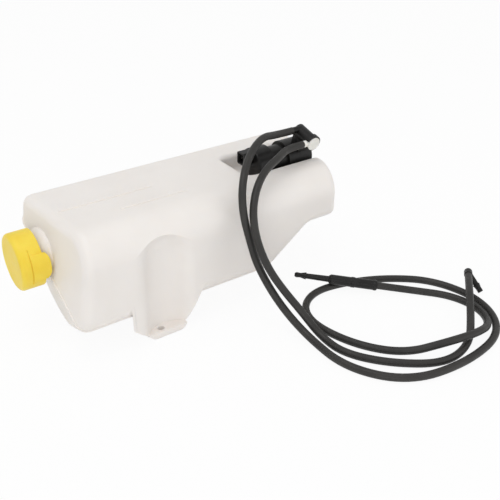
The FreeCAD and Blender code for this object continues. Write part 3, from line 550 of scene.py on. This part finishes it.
finishes = {
    "yellowCap": {
        "colour": (0.95, 0.73, 0.085), "shade": (0.91, 0.67, 0.06),
        "cloud": 45.0, "grain": 1500.0, "gloss": (0.36, 0.5), "bump": 0.05,
        "shader": {"Subsurface Weight": 0.15, "Subsurface Radius": (0.004, 0.002, 0.0005),
                   "Specular IOR Level": 0.3},
    },
    "blackCasing": {
        "colour": (0.0075, 0.0072, 0.0068), "shade": (0.012, 0.0115, 0.011),
        "cloud": 55.0, "grain": 1800.0, "gloss": (0.30, 0.46), "bump": 0.12,
        "scuff": {"scale": 90.0, "amount": 0.2, "colour": (0.07, 0.068, 0.065)},
        "shader": {"Specular IOR Level": 0.28},
    },
    "blackRubber": {
        "colour": (0.022, 0.022, 0.022), "shade": (0.034, 0.033, 0.032),
        "cloud": 60.0, "grain": 1400.0, "gloss": (0.55, 0.75), "bump": 0.15,
        "scuff": {"scale": 70.0, "amount": 0.3, "colour": (0.12, 0.12, 0.115)},
    },
    "hoseRubber": {
        "colour": (0.031, 0.029, 0.0265), "shade": (0.022, 0.021, 0.0195),
        "cloud": 30.0, "grain": 1200.0, "gloss": (0.38, 0.56), "bump": 0.1,
        "scuff": {"scale": 55.0, "amount": 0.3, "colour": (0.10, 0.097, 0.09)},
        "shader": {"Specular IOR Level": 0.38},
    },
    "ivoryOutlet": {
        "colour": (0.86, 0.85, 0.81), "shade": (0.80, 0.78, 0.72),
        "cloud": 120.0, "grain": 1600.0, "gloss": (0.3, 0.45), "bump": 0.05,
        "shader": {"Subsurface Weight": 0.2, "Subsurface Radius": (0.003, 0.0025, 0.002)},
    },
    "canSteel": {
        "colour": (0.62, 0.63, 0.65), "shade": (0.54, 0.55, 0.57),
        "cloud": 80.0, "grain": 900.0, "gloss": (0.25, 0.42), "bump": 0.08,
        "stretch": (1, 6, 6), "shader": {"Metallic": 1.0},
    },
    "ferriteGrey": {
        "colour": (0.10, 0.10, 0.11), "shade": (0.07, 0.07, 0.075),
        "cloud": 150.0, "grain": 1700.0, "gloss": (0.6, 0.8), "bump": 0.3,
    },
    "sinterBronze": {
        "colour": (0.60, 0.45, 0.25), "shade": (0.48, 0.35, 0.19),
        "cloud": 300.0, "grain": 2200.0, "gloss": (0.4, 0.6), "bump": 0.25,
        "shader": {"Metallic": 1.0},
    },
    "coilCopper": {
        "colour": (0.72, 0.40, 0.22), "shade": (0.55, 0.27, 0.13),
        "cloud": 250.0, "grain": 2500.0, "gloss": (0.25, 0.4), "bump": 0.4,
        "stretch": (0.2, 1, 1), "shader": {"Metallic": 1.0},
    },
    "brushCarbon": {
        "colour": (0.05, 0.05, 0.05), "shade": (0.035, 0.035, 0.037),
        "cloud": 260.0, "grain": 1900.0, "gloss": (0.5, 0.7), "bump": 0.2,
    },
    "cardBrown": {
        "colour": (0.35, 0.22, 0.12), "shade": (0.27, 0.16, 0.08),
        "cloud": 200.0, "grain": 1500.0, "gloss": (0.45, 0.65), "bump": 0.15,
    },
    "nylonWhite": {
        "colour": (0.82, 0.82, 0.78), "shade": (0.74, 0.74, 0.69),
        "cloud": 140.0, "grain": 1500.0, "gloss": (0.4, 0.55), "bump": 0.08,
    },
    "tinnedBlade": {
        "colour": (0.78, 0.77, 0.73), "shade": (0.66, 0.65, 0.61),
        "cloud": 180.0, "grain": 1300.0, "gloss": (0.22, 0.4), "bump": 0.06,
        "shader": {"Metallic": 1.0},
    },
}
paints = {name: makePaint(name, finish) for name, finish in finishes.items()}


# the tank's milky plastic: soft clouds, wavy blown walls, fine grain, light that soaks in
milky = {
    "colour": (0.90, 0.855, 0.815),
    "shade": (0.865, 0.818, 0.777),
    "cloud": 14.0,
    "grain": 1100.0,
    "gloss": (0.36, 0.5),
    "bump": 0.04,
    "soak": 0.35,
    "radius": (0.0035, 0.0032, 0.0028),
    "waveScale": 22.0,
    "waveStrength": 0.25,
    "waveDeep": 0.004,
}


def makeMilky(facts):
    paint, tree, shader = newPaint("milkyTank")
    place = addPlace(tree)
    skin = addSkin(tree, facts, place)
    tree.links.new(skin.outputs["Colour"], shader.inputs["Base Color"])
    tree.links.new(skin.outputs["Roughness"], shader.inputs["Roughness"])
    grain = addBump(tree, shader, skin.outputs["Height"], facts["bump"], grainDeep)
    wave = tree.nodes.new("ShaderNodeBump")
    wave.inputs["Strength"].default_value = facts["waveStrength"]
    wave.inputs["Distance"].default_value = facts["waveDeep"]
    swell = addNoise(tree, place, facts["waveScale"], detail=2.0, roughness=0.4)
    tree.links.new(swell, wave.inputs["Height"])
    tree.links.new(wave.outputs["Normal"], grain.inputs["Normal"])
    shader.inputs["Subsurface Weight"].default_value = facts["soak"]
    shader.inputs["Subsurface Radius"].default_value = facts["radius"]
    shader.inputs["Subsurface Scale"].default_value = 1.0
    return paint


paints["milkyTank"] = makeMilky(milky)

wearers = {
    "milkyTank": ["tank"],
    "blackCasing": ["pump_body", "inlet_cover", "motor_end_cap",
                    "straight_connector", "elbow_connector"],
    "blackRubber": ["cap_gasket", "pump_grommet", "valve_diaphragm", "shaft_seal"],
    "ivoryOutlet": ["outlet_cap"],
    "canSteel": ["motor_can", "armature_core", "motor_shaft"],
    "ferriteGrey": ["motor_magnets"],
    "sinterBronze": ["rear_bush", "front_bush"],
    "coilCopper": ["windings", "commutator"],
    "brushCarbon": ["brushes"],
    "cardBrown": ["brush_card"],
    "nylonWhite": ["impeller", "inlet_strainer"],
    "tinnedBlade": ["terminals"],
}


def wear(piece, paintName):
    piece.data.materials.clear()
    piece.data.materials.append(paints[paintName])


for paintName, names in wearers.items():
    for name in names:
        wear(nodes[name], paintName)
for piece in hosePieces:
    wear(piece, "hoseRubber")
wear(capPiece, "yellowCap")
wear(footPiece, "milkyTank")
print("finishes set:", len(paints))

# stage: pale floor and soft light
studio = {
    "floorSize": 6.0,
    "floorColour": (0.90, 0.90, 0.90),
    "floorWhite": 0.93,     # share of plain white that the camera sees on the floor
    "skyLight": 0.704,
    "skySeen": 1.0,         # sky as the camera sees it
}
lamps = {
    "keyLamp": {"place": (-0.3, -0.1, 1.4), "aim": (0.05, -0.05, 0.05), "power": 4.2, "size": 0.9},
    "fillLamp": {"place": (-1.1, -1.4, 0.5), "aim": (0.0, 0.0, 0.06), "power": 4.0, "size": 1.0},
    "sideLamp": {"place": (0.7, -1.1, 0.45), "aim": (0.1, -0.06, 0.07), "power": 1.6, "size": 0.9},
}


def makeFloorPaint():
    paint = bpy.data.materials.new("floorPaint")
    paint.use_nodes = True
    tree = paint.node_tree
    tree.nodes.clear()
    out = tree.nodes.new("ShaderNodeOutputMaterial")
    blend = tree.nodes.new("ShaderNodeMixShader")
    matt = tree.nodes.new("ShaderNodeBsdfDiffuse")
    matt.inputs["Color"].default_value = (*studio["floorColour"], 1)
    white = tree.nodes.new("ShaderNodeEmission")
    rays = tree.nodes.new("ShaderNodeLightPath")
    seen = addMath(tree, "MAXIMUM", rays.outputs["Is Camera Ray"], rays.outputs["Is Glossy Ray"])
    tree.links.new(addMath(tree, "MULTIPLY", seen, studio["floorWhite"]), blend.inputs[0])
    tree.links.new(matt.outputs[0], blend.inputs[1])
    tree.links.new(white.outputs[0], blend.inputs[2])
    tree.links.new(blend.outputs[0], out.inputs["Surface"])
    return paint


def layFloor():
    reach = studio["floorSize"]
    mesh = bpy.data.meshes.new("floor")
    corners = [(-reach, -reach, 0), (reach, -reach, 0), (reach, reach, 0), (-reach, reach, 0)]
    mesh.from_pydata(corners, [], [(0, 1, 2, 3)])
    floor = bpy.data.objects.new("floor", mesh)
    scene.collection.objects.link(floor)
    mesh.materials.append(makeFloorPaint())


def makeSky():
    world = bpy.data.worlds.new("studioSky")
    scene.world = world
    world.use_nodes = True
    tree = world.node_tree
    tree.nodes.clear()
    out = tree.nodes.new("ShaderNodeOutputWorld")
    sky = tree.nodes.new("ShaderNodeBackground")
    sky.inputs["Color"].default_value = (1, 1, 1, 1)
    rays = tree.nodes.new("ShaderNodeLightPath")
    seen = addMath(tree, "MAXIMUM", rays.outputs["Is Camera Ray"],
                   rays.outputs["Is Transmission Ray"])
    level = addRange(tree, seen, 0.0, 1.0, studio["skyLight"], studio["skySeen"])
    tree.links.new(level, sky.inputs["Strength"])
    tree.links.new(sky.outputs[0], out.inputs["Surface"])


def hangLamp(name, facts):
    lampData = bpy.data.lights.new(name, "AREA")
    lampData.energy = facts["power"]
    lampData.size = facts["size"]
    lamp = bpy.data.objects.new(name, lampData)
    scene.collection.objects.link(lamp)
    lamp.location = facts["place"]
    aim = Vector(facts["aim"]) - Vector(facts["place"])
    lamp.rotation_euler = aim.to_track_quat("-Z", "Y").to_euler()


layFloor()
makeSky()
for name, facts in lamps.items():
    hangLamp(name, facts)
print("floor and lamps set")

bpy.context.view_layer.update()
